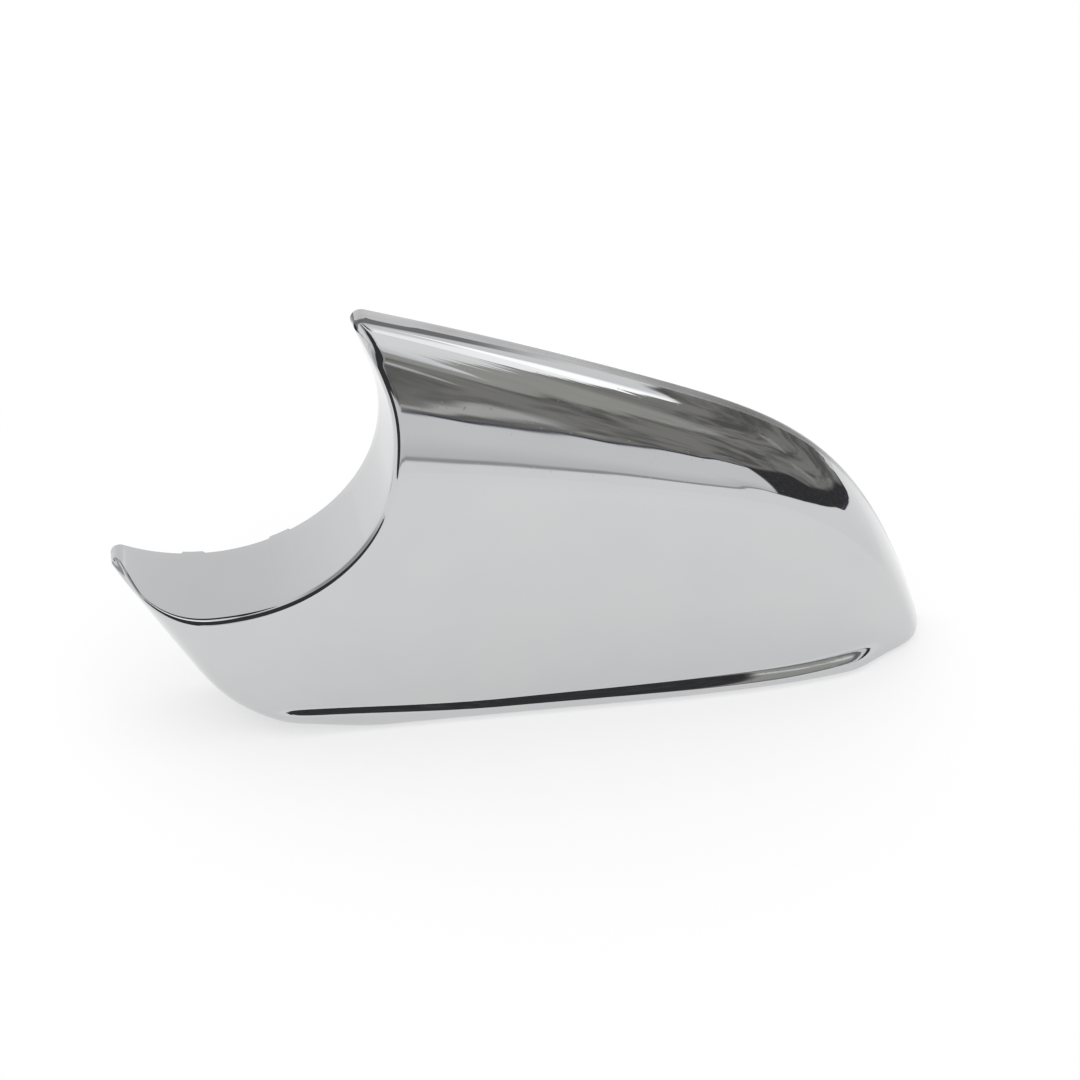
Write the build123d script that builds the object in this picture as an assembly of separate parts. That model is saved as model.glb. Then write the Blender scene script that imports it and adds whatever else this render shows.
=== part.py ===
from build123d import *
import os
from math import atan, cos, degrees, hypot, pi, radians, sin, tan

# Lower cover of a car's wing mirror: one plated moulding, open at the back,
# scooped at one corner for the neck that carries the mirror head.
# X runs from the neck end to the outer tip, Y into the open back, Z up.
# The cover stands on its long edge; all drawing is done from the rim plane
# and the cover is set over the origin at the end.

# Outline of the rim, in the plane of the open back
tip_x = 108.6            # where the upper edge would reach the long edge
top_x = -44.0            # where the upper edge leaves the neck corner
top_z = 127.2            # height of the upper edge there
top_slope = 0.372        # fall of the upper edge towards the tip
top_bow = 0.00055        # extra fall that bows the upper edge
top_turn = 6.6           # how late the upper edge turns down to the tip
corner_x = -116.3        # neck-side corner of the rim
corner_z = 54.0
foot_x = -89.5           # where the slanted end meets the long edge

# Depth of the bowl
depth = 26.0             # from the rim plane to the crown of the face
depth_turn = 3.2         # how late the face falls back to the tip
depth_tip = 107.15       # where the face would reach the rim plane
face_radius = 400.0      # crown of the face
face_z = 45.0            # height of the crown
edge_power = 2.5         # fullness of the turned edges
band = 37.0              # height of the turned upper edge at band_x
band_x = -13.0
band_slope = 0.27        # the turned upper edge narrows towards the tip
band_least = 9.0
end_round = 20.0         # turned slanted end
end_shelf = 6.0          # width of its low shelf beside the rim
end_lean = 2.5           # how soon the shelf starts to rise
base_round = 4.5         # turned long edge
base_grow = 18.0         # extra turning of the long edge at the slanted end
base_from = -45.0
base_to = -100.0
land = 4.5               # straight strip of the rim beside the turned edges
flat_z = 1.6             # the long edge is cut flat at this height
skim = 1.0               # stock past the long edge and the rim before they are cut flat

# Flared lip along the long edge
flare = 1.25             # how far the nose stands proud of the face at the slanted end
flare_grow = 1.75        # and how much further towards the tip
grow_from = -60.0
grow_to = 95.0
flare_z = 5.6            # top of the nose
lift_in = 4.2            # how much higher it is at the slanted end
lift_to = -14.0
lift_out = 1.3           # and at the tip
lift_from = 60.0
flare_height = 2.6       # height of the hollow above the nose
flare_from = -78.0
flare_to = 98.0
flare_in = 16.0          # length over which the lip fades in at the slanted end
flare_out = 14.0         # and out at the tip

# Neck scoop
neck_x = -89.9
neck_z = 97.2
neck_radius = 47.3       # at the rim plane
neck_leave = 17.0        # degrees, from here the scoop runs straight on to the upper horn
neck_draft = 4.0         # degrees, opening towards the face
neck_open = 13.0         # the same beside the upper horn
open_from = -10.0        # degrees, between these the draft changes
open_to = 30.0
horn_low = 2.4           # rounding of the lower horn
horn_high = 2.7          # rounding of the upper horn

# Moulding
wall = 2.5
hollow_round = 1.5       # rounding of the hollow inside the horns
tip_hollow = 8.0         # height of the hollow where it ends near the tip
sink = 0.4               # how far the inner features run into the walls

# Screw bosses beside the neck
boss_ring = 64.0         # distance from the neck's axis
boss_angles = (-75.0, -15.0)
boss_radius = 3.6
boss_bore = 1.45
boss_back = 4.0          # boss face, below the rim plane
bore_depth = 12.0

# Stiffening webs behind the scoop
web_first = -97.0
web_pitch = 44.0
web_count = 3
web_thick = 1.6
web_reach = 11.0
web_back = 8.0           # highest point of a web, below the rim plane

# Snap hooks along the long edge
hook_first = -46.0
hook_pitch = 52.0
hook_count = 3
hook_width = 10.0
hook_thick = 2.0
hook_root = 10.0         # length that is one with the wall
hook_reach = 6.0         # past the rim plane
hook_catch = 1.4
catch_length = 3.2

# Catch bars inside the upper edge
bar_first = -16.0
bar_pitch = 48.0
bar_count = 2
bar_length = 14.0
bar_width = 2.0
bar_proud = 1.2
bar_back = 3.0           # middle of a bar, below the rim plane

# Locating peg near the tip, on a shouldered post
peg_x = 78.0
peg_z = 22.0
peg_radius = 2.5
peg_reach = 3.0          # past the rim plane
peg_bevel = 0.8
post_radius = 4.0
post_back = 4.0          # shoulder, below the rim plane

# Locating tabs on the rim of the scoop
tab_angles = (-95.0, -66.0)
tab_width = 6.0
tab_proud = 0.7

# Drawing
stations = 28            # sections along the cover
nose_points = 14         # points of a section on the lip
face_points = 14         # points of a section above the lip
wall_points = 36         # points along the scoop
tip_gap = 1.5            # the last section stops this short of the tip
left_end = corner_x - end_shelf
reach = 2 * (tip_x - corner_x)

back = Plane((0, 0, 0), x_dir=(1, 0, 0), z_dir=(0, -1, 0))
neck = Plane((neck_x, 0, neck_z), x_dir=(1, 0, 0), z_dir=(0, -1, 0))


def ease(value, start, end):
    t = min(max((value - start) / (end - start), 0.0), 1.0)
    return t * t * (3 - 2 * t)


def solve(holds, near, far):
    for _ in range(60):
        middle = (near + far) / 2
        if holds(middle):
            near = middle
        else:
            far = middle
    return (near + far) / 2


def top_line(x):
    w = x - top_x
    turn = 1 - max(x / tip_x, 0.0) ** top_turn
    return (top_z - top_slope * w - top_bow * w * abs(w)) * turn


def top_fall(x):
    step = tip_gap / 10
    return (top_line(x - step) - top_line(x + step)) / (2 * step)


def below_top(x, z):
    return (top_line(x) - z) / hypot(1, top_fall(x))


def from_end(x, z):
    run = hypot(corner_x - foot_x, corner_z)
    return ((x - foot_x) * corner_z + z * (foot_x - corner_x)) / run


def crown(x):
    turn = 1 - max(x / depth_tip, 0.0) ** depth_turn
    return depth * max(turn, 0.0) ** (1 / depth_turn)


def rim_strip(x):
    return land * crown(x) / depth


# How far a point has gone round the turned edges: 0 on the face, 1 at the rim
def turned(x, z, inset):
    top = top_line(x) - inset * hypot(1, top_fall(x))
    tall = max(band - band_slope * (x - band_x), band_least)
    tall = min(tall, 0.9 * top)
    base = base_round + base_grow * ease(x, base_from, base_to)
    end = from_end(x, z) - inset
    end *= (end ** 2 + end_lean ** 2) / (end ** 2 + end_shelf ** 2)
    rounds = (
        1 - (top - z) / tall,
        1 - end / (end_round - inset),
        1 - (z - inset) / base,
    )
    return sum(max(u, 0.0) ** edge_power for u in rounds)


# Depth of the outside (inset 0) or of the hollow (inset one wall) at a place on the rim plane
def skin(x, z, inset=0.0):
    full = crown(x)
    face = full - inset - (z - face_z) ** 2 / (2 * face_radius) * full / depth
    strip = rim_strip(x)
    rest = max(1 - turned(x, z, inset), 0.0)
    return strip + (face - strip) * rest ** (1 / edge_power)


def nose_top(x):
    return flare_z + lift_in * ease(x, lift_to, flare_from) + lift_out * ease(x, lift_from, flare_to)


def nose(x, z):
    fade = ease(x, flare_from, flare_from + flare_in)
    fade *= 1 - ease(x, flare_to - flare_out, flare_to)
    proud = flare + flare_grow * ease(x, grow_from, grow_to)
    return proud * fade * (1 - ease(z, nose_top(x), nose_top(x) + flare_height))


# Closed outline across X: long edge, face, turned upper edge, rim
def section(x, inset):
    inside = lambda z: turned(x, z, inset) < 1
    middle = max(top_line(x) / 2, corner_z if x < foot_x else 0.0)
    high = solve(inside, middle, middle + reach)
    floor = flat_z + inset if inset else flat_z - skim
    low = max(solve(inside, middle, middle - reach), floor)
    lip = min(nose_top(x) + flare_height, (high - low) * 0.4)
    heights = [low + lip * k / nose_points for k in range(nose_points)]
    for k in range(face_points):
        heights.append(high - (high - low - lip) * (1 - k / face_points) ** edge_power)
    proud = [nose(x, z) if inset == 0 else 0.0 for z in heights]
    points = [(x, -skin(x, z, inset) - p, z) for z, p in zip(heights, proud)]
    points.append((x, -rim_strip(x), high))
    rim_high = (x, skim, high)
    rim_low = (x, skim, low)
    return Wire([
        Spline(*points),
        Line(points[-1], rim_high),
        Line(rim_high, rim_low),
        Line(rim_low, points[0]),
    ])


def bowl(end, inset=0.0):
    span = end - left_end
    places = [left_end + span * (1 - cos(pi * k / stations)) / 2 for k in range(stations + 1)]
    return Solid.make_loft([section(x, inset) for x in places])


# A place on the scoop's wall: round the neck, then straight on to the upper horn
def wall_point(angle, offset, deep):
    heading = min(angle, radians(neck_leave))
    ahead = neck_radius * tan(angle - heading)
    lean = neck_draft + (neck_open - neck_draft) * ease(degrees(angle), open_from, open_to)
    out = neck_radius + offset + deep * tan(radians(lean))
    x = neck_x + out * cos(heading) - ahead * sin(heading)
    z = neck_z + out * sin(heading) + ahead * cos(heading)
    return Vector(x, -deep, z)


# Angle and middle of the horn of the given rounding that just fits beside the scoop
def horn(inset, rounding, deep, clearance, last):
    def fits(angle):
        middle = wall_point(angle, inset + rounding, deep)
        return clearance(middle.X, middle.Z) - inset > rounding

    angle = solve(fits, radians(-45), radians(last))
    return angle, wall_point(angle, inset + rounding, deep)


def lower_horn(inset, rounding, deep):
    return horn(inset, rounding, deep, from_end, -165)


def upper_horn(inset, rounding, deep):
    return horn(inset, rounding, deep, below_top, 75)


# Outline, at one depth, of everything on the neck's side of the cover
def scoop_outline(inset, low, high, deep):
    lower, low_middle = lower_horn(inset, low, deep)
    upper, high_middle = upper_horn(inset, high, deep)
    sweep = upper - lower
    wall_line = [wall_point(lower + sweep * k / wall_points, inset, deep) for k in range(wall_points + 1)]
    low_way = Vector(-corner_z, 0, corner_x - foot_x).normalized()
    high_way = Vector(top_fall(high_middle.X), 0, 1).normalized()
    low_edge = low_middle + low_way * low
    high_edge = high_middle + high_way * high
    low_tip = low_middle + ((wall_line[0] - low_middle) / low + low_way).normalized() * low
    high_tip = high_middle + ((wall_line[-1] - high_middle) / high + high_way).normalized() * high
    low_far = low_edge + low_way * reach
    high_far = high_edge + high_way * reach
    corner = Vector(low_far.X, -deep, high_far.Z)
    return Wire([
        Spline(*wall_line),
        ThreePointArc(wall_line[-1], high_tip, high_edge),
        Line(high_edge, high_far),
        Line(high_far, corner),
        Line(corner, low_far),
        Line(low_far, low_edge),
        ThreePointArc(low_edge, low_tip, wall_line[0]),
    ])


def scoop(inset, low, high):
    depths = (-2 * skim, depth + 2 * (flare + flare_grow))
    return Solid.make_loft([scoop_outline(inset, low, high, deep) for deep in depths], ruled=True)


def screw_boss(angle):
    x = boss_ring * cos(radians(angle))
    z = boss_ring * sin(radians(angle))
    foot = skin(neck_x + x, neck_z + z, wall) + sink
    post = Pos(x, z, boss_back) * Cylinder(
        boss_radius, foot - boss_back, align=(Align.CENTER, Align.CENTER, Align.MIN))
    bore = Pos(x, z, boss_back) * Cylinder(
        boss_bore, bore_depth, align=(Align.CENTER, Align.CENTER, Align.MIN))
    return neck * (post - bore)


def web(angle):
    a = radians(angle)
    root = neck_radius + wall
    foot = min(skin(neck_x + r * cos(a), neck_z + r * sin(a), wall) for r in (root, root + web_reach))
    corners = [(root, web_back), (root, foot + sink), (root + web_reach, foot + sink)]
    profile = Plane(neck.origin, x_dir=(cos(a), 0, sin(a)), z_dir=(-sin(a), 0, cos(a)))
    drawn = [profile.from_local_coords(Vector(r, 0, 0)) - Vector(0, d, 0) for r, d in corners]
    return extrude(make_face(Polyline(*drawn, close=True)), amount=web_thick / 2, both=True)


def snap_hook(x):
    low = flat_z + wall - sink
    high = low + sink + hook_thick
    side = [
        (-hook_root, low),
        (hook_reach, low),
        (hook_reach, high - hook_catch / 2),
        (hook_reach - catch_length, high + hook_catch),
        (hook_reach - catch_length, high),
        (-hook_root, high),
    ]
    drawn = [(x, y, z) for y, z in side]
    return extrude(make_face(Polyline(*drawn, close=True)), amount=hook_width / 2, both=True)


def catch_bar(x):
    under = top_line(x) - wall * hypot(1, top_fall(x))
    lean = degrees(atan(top_fall(x)))
    bar = Box(bar_length, bar_width, bar_proud + sink, align=(Align.CENTER, Align.CENTER, Align.MAX))
    return Pos(x, -bar_back, under) * Rot(0, lean, 0) * Pos(0, 0, sink) * bar


def peg():
    foot = skin(peg_x, peg_z, wall) + sink
    pin = Cylinder(peg_radius, foot + peg_reach, align=(Align.CENTER, Align.CENTER, Align.MIN))
    pin = chamfer(pin.edges().sort_by(Axis.Z)[0], peg_bevel)
    post = Pos(0, 0, peg_reach + post_back) * Cylinder(
        post_radius, foot - post_back, align=(Align.CENTER, Align.CENTER, Align.MIN))
    return back * Pos(peg_x, peg_z, -peg_reach) * (pin + post)


def rim_tab(angle):
    middle = neck_radius + wall / 2
    block = Box(wall, tab_width, 2 * tab_proud)
    return neck * Rot(0, 0, angle) * Pos(middle, 0, 0) * block


# The hollow stops where it is only this high above the long edge
def hollow_high(x):
    return top_line(x) - wall * hypot(1, top_fall(x)) - flat_z - wall


hollow_end = solve(lambda x: hollow_high(x) > tip_hollow, 0, tip_x)
cover = bowl(tip_x - tip_gap) - scoop(0, horn_low, horn_high)
cover -= Pos(0, 0, flat_z) * Box(2 * reach, reach, reach, align=(Align.CENTER, Align.CENTER, Align.MAX))
cover -= Box(2 * reach, reach, 2 * reach, align=(Align.CENTER, Align.MIN, Align.CENTER))
cover -= bowl(hollow_end, wall) - scoop(wall, hollow_round, hollow_round)
cover += [screw_boss(a) for a in boss_angles]
cover += [web(web_first + web_pitch * k) for k in range(web_count)]
cover += [snap_hook(hook_first + hook_pitch * k) for k in range(hook_count)]
cover += [catch_bar(bar_first + bar_pitch * k) for k in range(bar_count)]
cover += [peg()]
cover += [rim_tab(a) for a in tab_angles]

# Set over the origin: middle of the cover in plan, on the long edge
ends = (lower_horn(0, horn_low, 0)[1].X - horn_low, tip_x - tip_gap)
front = max(skin(x, flare_z) + nose(x, flare_z) for x in range(round(flare_from), round(flare_to)))
cover = Pos(-sum(ends) / 2, (front - hook_reach) / 2, -flat_z) * cover

os.makedirs("parts", exist_ok=True)
export_step(cover, "parts/mirror_cover.step")
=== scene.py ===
import math
import bmesh
import bpy
import numpy as np
from types import SimpleNamespace
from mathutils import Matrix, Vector


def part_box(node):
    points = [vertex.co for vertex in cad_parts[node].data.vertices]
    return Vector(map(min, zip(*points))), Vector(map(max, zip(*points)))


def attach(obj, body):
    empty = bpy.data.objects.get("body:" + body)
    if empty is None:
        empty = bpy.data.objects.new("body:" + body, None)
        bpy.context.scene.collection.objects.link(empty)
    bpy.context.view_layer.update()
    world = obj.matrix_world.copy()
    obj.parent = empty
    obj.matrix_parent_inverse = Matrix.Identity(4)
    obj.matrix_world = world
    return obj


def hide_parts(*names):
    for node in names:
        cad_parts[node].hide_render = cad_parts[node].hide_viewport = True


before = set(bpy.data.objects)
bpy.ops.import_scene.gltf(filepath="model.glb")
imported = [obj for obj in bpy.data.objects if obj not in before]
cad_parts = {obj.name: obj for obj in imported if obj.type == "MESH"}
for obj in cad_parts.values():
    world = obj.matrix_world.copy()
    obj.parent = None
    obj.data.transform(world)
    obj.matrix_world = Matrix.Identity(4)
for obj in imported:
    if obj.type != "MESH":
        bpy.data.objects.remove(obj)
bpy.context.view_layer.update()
cadLow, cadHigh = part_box("mirror_cover")
print("frame loaded:", sorted(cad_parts))


# form of the bowl, drawn in millimetres from the plane of its open back
bowlForm = {
    "tipX": 108.6, "topX": -44.0, "topZ": 127.2,  # upper edge, millimetres
    "topSlope": 0.372, "topBow": 0.00055, "topTurn": 6.6, "slopeStep": 0.06,
    "cornerX": -116.3, "cornerZ": 54.0, "footX": -89.5,  # slanted end
    "depth": 26.0, "depthTurn": 3.2, "depthTip": 107.15, "faceRadius": 400.0, "faceZ": 45.0,
    "edgePower": 2.5, "turnMost": 50.0,  # fullness of the turned edges
    "band": 37.0, "bandX": -13.0, "bandSlope": 0.27, "bandLeast": 9.0,  # height of the turned upper edge
    "bandShare": 0.9, "bandThin": 0.01,
    "endRound": 20.0, "endShelf": 6.0, "endLean": 2.5,
    "baseRound": 4.5, "baseGrow": 18.0, "baseFrom": -45.0, "baseTo": -100.0,  # turned long edge
    "land": 4.5,  # flat strip at the rim, narrower to the low horn
    "landFall": 0.7, "fallFrom": -75.0, "fallTo": -117.0,
    "flatZ": 1.6, "tipGap": 1.5,
    "flare": 1.45, "flareGrow": 1.4, "growFrom": -60.0, "growTo": 105.0,  # lip along the long edge
    "flareZ": 5.9, "flareHeight": 2.3, "flareSoft": 0.25,
    "liftIn": 4.2, "liftTo": -14.0, "liftOut": 1.3, "liftFrom": 60.0,
    "flareTall": 0.8, "tallFrom": 0.0, "tallTo": 70.0,
    "flareCrisp": 0.06, "flareBlunt": 0.24, "bluntFrom": 45.0, "bluntTo": 75.0,
    "flareFrom": -83.0, "flareTo": 98.0, "flareIn": 14.0, "flareOut": 14.0,
    "neckX": -89.9, "neckZ": 97.2, "neckRadius": 47.3, "neckLeave": 17.0,
    "neckDraft": 4.0, "neckOpen": 13.0, "openFrom": -10.0, "openTo": 30.0,  # degrees
    "hornLow": 2.4, "hornHigh": 2.7, "hollowRound": 1.5, "wall": 2.5, "tipHollow": 8.0,
    "hookReach": 6.0,
    "hornLowRise": (8.0, 1.6), "hornHighRise": (9.0, 1.15), "hornLip": 3.5,  # the face rises along a horn
}
c = SimpleNamespace(**bowlForm)
shiftX = cadHigh.x * 1000 - (c.tipX - c.tipGap)  # drawing to frame
shiftY = cadHigh.y * 1000 - c.hookReach
shiftZ = cadLow.z * 1000 - c.flatZ


def toFrame(x, d, z):
    return np.stack(np.broadcast_arrays(x + shiftX, shiftY - d, z + shiftZ), axis=-1) / 1000


def ease(v, a, b):
    t = np.clip((v - a) / (b - a), 0, 1)
    return t * t * (3 - 2 * t)


def topLine(x):
    w = x - c.topX
    turn = 1 - np.clip(x / c.tipX, 0, None) ** c.topTurn
    return (c.topZ - c.topSlope * w - c.topBow * w * np.abs(w)) * turn


def topFall(x):
    return (topLine(x - c.slopeStep) - topLine(x + c.slopeStep)) / (2 * c.slopeStep)


def belowTop(x, z):
    return (topLine(x) - z) / np.hypot(1, topFall(x))


def fromEnd(x, z):
    run = math.hypot(c.cornerX - c.footX, c.cornerZ)
    return ((x - c.footX) * c.cornerZ + z * (c.footX - c.cornerX)) / run


def crown(x):
    turn = 1 - np.clip(x / c.depthTip, 0, 1) ** c.depthTurn
    return c.depth * turn ** (1 / c.depthTurn)


def rimStrip(x):
    return c.land * crown(x) / c.depth * (1 - c.landFall * ease(x, c.fallFrom, c.fallTo))


def turned(x, z, inset):
    # 0 on the face, 1 at the rim
    top = topLine(x) - inset * np.hypot(1, topFall(x))
    tall = np.maximum(c.band - c.bandSlope * (x - c.bandX), c.bandLeast)
    tall = np.maximum(np.minimum(tall, c.bandShare * top), c.bandThin)
    base = c.baseRound + c.baseGrow * ease(x, c.baseFrom, c.baseTo)
    uTop = np.clip(1 - (top - z) / tall, 0, c.turnMost)
    end = fromEnd(x, z) - inset
    end = end * (end ** 2 + c.endLean ** 2) / (end ** 2 + c.endShelf ** 2)
    uEnd = np.clip(1 - end / (c.endRound - inset), 0, c.turnMost)
    uBase = np.clip(1 - (z - inset) / base, 0, c.turnMost)
    return uTop ** c.edgePower + uEnd ** c.edgePower + uBase ** c.edgePower


def opening(angle):
    # how fast the scoop's wall opens towards the face
    lean = c.neckDraft + (c.neckOpen - c.neckDraft) * ease(np.degrees(angle), c.openFrom, c.openTo)
    return np.tan(np.radians(lean))


def fromScoop(x, z):
    dx, dz, leave = x - c.neckX, z - c.neckZ, math.radians(c.neckLeave)
    angle = np.arctan2(dz, dx)
    ahead = dx * math.cos(leave) + dz * math.sin(leave)
    return np.where(angle > leave, ahead, np.hypot(dx, dz)) - c.neckRadius, angle


def nose(x, z):
    fade = ease(x, c.flareFrom, c.flareFrom + c.flareIn)
    fade = fade * (1 - ease(x, c.flareTo - c.flareOut, c.flareTo))
    proud = c.flare + c.flareGrow * ease(x, c.growFrom, c.growTo)
    top = c.flareZ + c.liftIn * ease(x, c.liftTo, c.flareFrom)
    top = top + c.liftOut * ease(x, c.liftFrom, c.flareTo)
    taller = c.flareTall * ease(x, c.tallFrom, c.tallTo)
    t = np.maximum((z - top + taller) / (c.flareHeight + taller), 0)  # straight ramp with a soft foot
    blunt = c.flareCrisp + c.flareBlunt * ease(x, c.bluntFrom, c.bluntTo)  # crisp top, blunter to the tip
    under = np.clip(0.5 + 0.5 * (1 - t) / blunt, 0, 1)
    t = t * under + (1 - under) * (1 - blunt * under)
    rise = (np.hypot(t, c.flareSoft) - c.flareSoft) / (math.hypot(1, c.flareSoft) - c.flareSoft)
    return proud * fade * (1 - rise)


def faceDepth(x, z, inset, tips=()):
    full = crown(x)
    face = full - inset - (z - c.faceZ) ** 2 / (2 * c.faceRadius) * full / c.depth
    strip = rimStrip(x)
    rest = np.clip(1 - turned(x, z, inset), 0, 1)
    rise = rest ** (1 / c.edgePower)
    if tips:  # beside the scoop the horns run down to the land
        low = 1.0
        for tip, (length, power) in zip(tips, (c.hornLowRise, c.hornHighRise)):
            t = np.clip(np.hypot(x - tip[0], z - tip[1]) / length, 0, 1)
            low = low * (1 - (1 - t) ** power) ** (1 / power)
        away, angle = fromScoop(x, z)
        past = away - opening(angle) * (strip + (face - strip) * rise * low)
        rise = rise * (low + (1 - low) * ease(past, 0, c.hornLip))
    d = strip + (face - strip) * rise
    return d + nose(x, z) if inset == 0 else d


# the shell is one dense grid: its columns run from the scoop's lip over the face to the outer edge,
# and back inside
shellGrid = {
    "hornColumns": 20, "columns": 390,
    "wallRows": 8, "lipRows": 9, "faceRows": 118, "edgeRows": 5, "landRows": 5, "rimRows": 4,
    "insideRows": 40, "insideLipRows": 4, "insideLandRows": 4, "insideWallRows": 5,
    "lipRound": 1.9, "insideLip": 1.0,  # rounding of the scoop's lip, millimetres
    "baseRound": 0.7, "insideBase": 0.8, "leastRound": 0.03,  # rounding under the long edge
    "rimRound": 0.3, "roundShare": 0.3, "backShare": 0.2,
    "lipPull": 40.0, "edgePull": 25.0, "pullShare": 0.8,  # how the columns leave the lip and meet the edge
    "soften": 40, "softenTurns": 3, "powerSoften": 16, "cutSpan": (0.02, 0.3),
    "halvings": 60, "lipTurns": 60, "probe": 0.05,
    "castFrom": (-8.0, 45.0),  # a place on the face that sees the whole outer edge
    "castStart": 0.6, "castCount": 9000, "castReach": 300.0, "castHalvings": 52, "castTrim": (3, 2),
    "bendMean": 15, "bendEnds": 12, "bendWeight": 9.0,
    "lowSearch": (-45.0, -165.0), "highSearch": 60.0,  # degrees round the neck, and millimetres past it
    "tabAngles": (-95.0, -66.0), "tabWidth": 6.0, "tabProud": 0.7, "tabSoft": (-0.35, 0.1),
    "weld": 2e-7, "sliver": 1e-7,  # metres
}
g = SimpleNamespace(**shellGrid)


def halve(holds, near, far):
    for _ in range(g.halvings):
        middle = (near + far) / 2
        near, far = (middle, far) if holds(middle) else (near, middle)
    return (near + far) / 2


def hollowEnd():
    high = lambda x: topLine(x) - c.wall * np.hypot(1, topFall(x)) - c.flatZ - c.wall
    return halve(lambda x: high(x) > c.tipHollow, 0.0, c.tipX)


def outerEdge(inset):
    # closed edge of the bowl, cast from a place on the face
    last = hollowEnd() if inset else c.tipX - c.tipGap
    a = np.linspace(g.castStart * math.pi, (g.castStart + 2) * math.pi, g.castCount)
    near, far = np.zeros_like(a), np.full_like(a, g.castReach)
    for _ in range(g.castHalvings):
        r = (near + far) / 2
        x, z = g.castFrom[0] + r * np.cos(a), g.castFrom[1] + r * np.sin(a)
        inside = (turned(x, z, inset) < 1) & (z > c.flatZ + inset) & (x < last)
        near, far = np.where(inside, r, near), np.where(inside, far, r)
    return np.stack((g.castFrom[0] + near * np.cos(a), g.castFrom[1] + near * np.sin(a)), axis=1)


def spread(points, count):
    # even steps along a line, closer together where it bends
    step = np.diff(points, axis=0)
    length = np.hypot(step[:, 0], step[:, 1])
    heading = np.unwrap(np.arctan2(step[:, 1], step[:, 0]))
    mean = np.convolve(heading, np.ones(g.bendMean) / g.bendMean, "same")
    bend = np.abs(np.gradient(mean))
    bend[:g.bendEnds] = bend[-g.bendEnds:] = 0
    run = np.concatenate(([0], np.cumsum(length + g.bendWeight * bend)))
    at = np.linspace(0, run[-1], count)
    return np.stack((np.interp(at, run, points[:, 0]), np.interp(at, run, points[:, 1])), axis=1)


def unit(v):
    return v / np.maximum(np.linalg.norm(v, axis=-1, keepdims=True), 1e-12)


def edgeNormals(points, ahead):
    t = unit(np.gradient(points, axis=0))
    return np.stack((t[:, 1], -t[:, 0]), axis=1) * ahead


def soften(values, width):
    # running mean that leaves both ends where they are
    mean = values.copy()
    for _ in range(g.softenTurns):
        ahead = np.concatenate(([0], np.cumsum(np.pad(mean, (width + 1, width), "edge"))))[1:]
        full = (ahead[2 * width + 1:] - ahead[:-2 * width - 1]) / (2 * width + 1)
        mean = full[: len(values)]
    place = np.arange(len(values))
    hold = ease(np.minimum(place, len(values) - 1 - place), 0, 2.0 * width)
    return values * (1 - hold) + mean * hold


def sides(inset, low, high):
    # the scoop's side and the outer side, both from the lower horn's tip to the upper horn's tip
    radius = c.neckRadius + inset
    neck = np.array((c.neckX, c.neckZ))
    leave = math.radians(c.neckLeave)
    ring = lambda a, r: np.stack((np.cos(a), np.sin(a)), axis=-1) * r
    along = np.array((-math.sin(leave), math.cos(leave)))  # the scoop's straight upper side
    lowAt = lambda a: neck + ring(a, radius + low)
    highAt = lambda v: neck + ring(leave, radius + high) + along * v
    lower = halve(lambda a: fromEnd(*lowAt(a)) - inset > low, *map(math.radians, g.lowSearch))
    run = halve(lambda v: belowTop(*highAt(v)) - inset > high, 0.0, g.highSearch)
    centreLow, centreHigh = lowAt(lower), highAt(run)
    outLow = math.atan2(-(c.footX - c.cornerX), -c.cornerZ) % (2 * math.pi)
    outHigh = math.atan2(1, topFall(centreHigh[0]))
    inLow, inHigh = lower + math.pi, leave + math.pi
    tipLow, tipHigh = (inLow + outLow) / 2, (inHigh + outHigh) / 2
    n = g.hornColumns
    # scoop's side
    aLow, aHigh = np.linspace(tipLow, inLow, n + 1), np.linspace(inHigh, tipHigh, n + 1)
    way = np.linspace(0, radius * (leave - lower) + run, g.columns + 1)
    arc = np.minimum(lower + way / radius, leave)
    past = np.maximum(way - radius * (leave - lower), 0)
    line = neck + ring(arc, radius) + past[:, None] * along
    scoop = np.concatenate((centreLow + ring(aLow, low), line[1:-1], centreHigh + ring(aHigh, high)))
    inward = np.concatenate((-ring(aLow, 1), ring(arc, 1)[1:-1], -ring(aHigh, 1)))
    rising = ease(np.linspace(0, 1, n + 1), 0, 1)
    lean = np.concatenate((rising, np.ones(g.columns - 1), rising[::-1]))
    seen = arc + np.arctan(past / c.neckRadius)
    angle = np.concatenate((np.full(n + 1, lower), seen[1:-1], np.full(n + 1, seen[-1])))
    opens = opening(angle) * lean
    # outer side
    edge = outerEdge(inset)
    startAt, endAt = centreLow + ring(outLow, low), centreHigh + ring(outHigh, high)
    first = np.argmin(np.linalg.norm(edge - startAt, axis=1))
    spans = np.linalg.norm(edge - endAt, axis=1)
    spans[: len(edge) // 2] = np.inf
    last = np.argmin(spans)
    middle = edge[first + g.castTrim[0]:last - g.castTrim[1]]
    main = spread(np.concatenate(([startAt], middle, [endAt])), g.columns + 1)
    bLow, bHigh = np.linspace(tipLow, outLow, n + 1), np.linspace(outHigh, tipHigh, n + 1)
    outer = np.concatenate((centreLow + ring(bLow, low), main[1:-1], centreHigh + ring(bHigh, high)))
    outward = np.concatenate((ring(bLow, 1), edgeNormals(main, 1)[1:-1], ring(bHigh, 1)))
    heading = unit(np.stack([soften(outward[:, k], g.soften) for k in (0, 1)], axis=1))
    return SimpleNamespace(
        scoop=scoop, inward=inward, opens=opens, angle=angle, outer=outer, heading=heading)


def curved(a, b, m, count):
    # rounding from a to b round the corner m
    t = np.linspace(0, 1, count)[:, None, None]
    return list((1 - t) ** 2 * a + 2 * t * (1 - t) * m + t * t * b)


def runs(a, b, count):
    t = np.linspace(0, 1, count)[:, None, None]
    return list(a + (b - a) * t)


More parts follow.
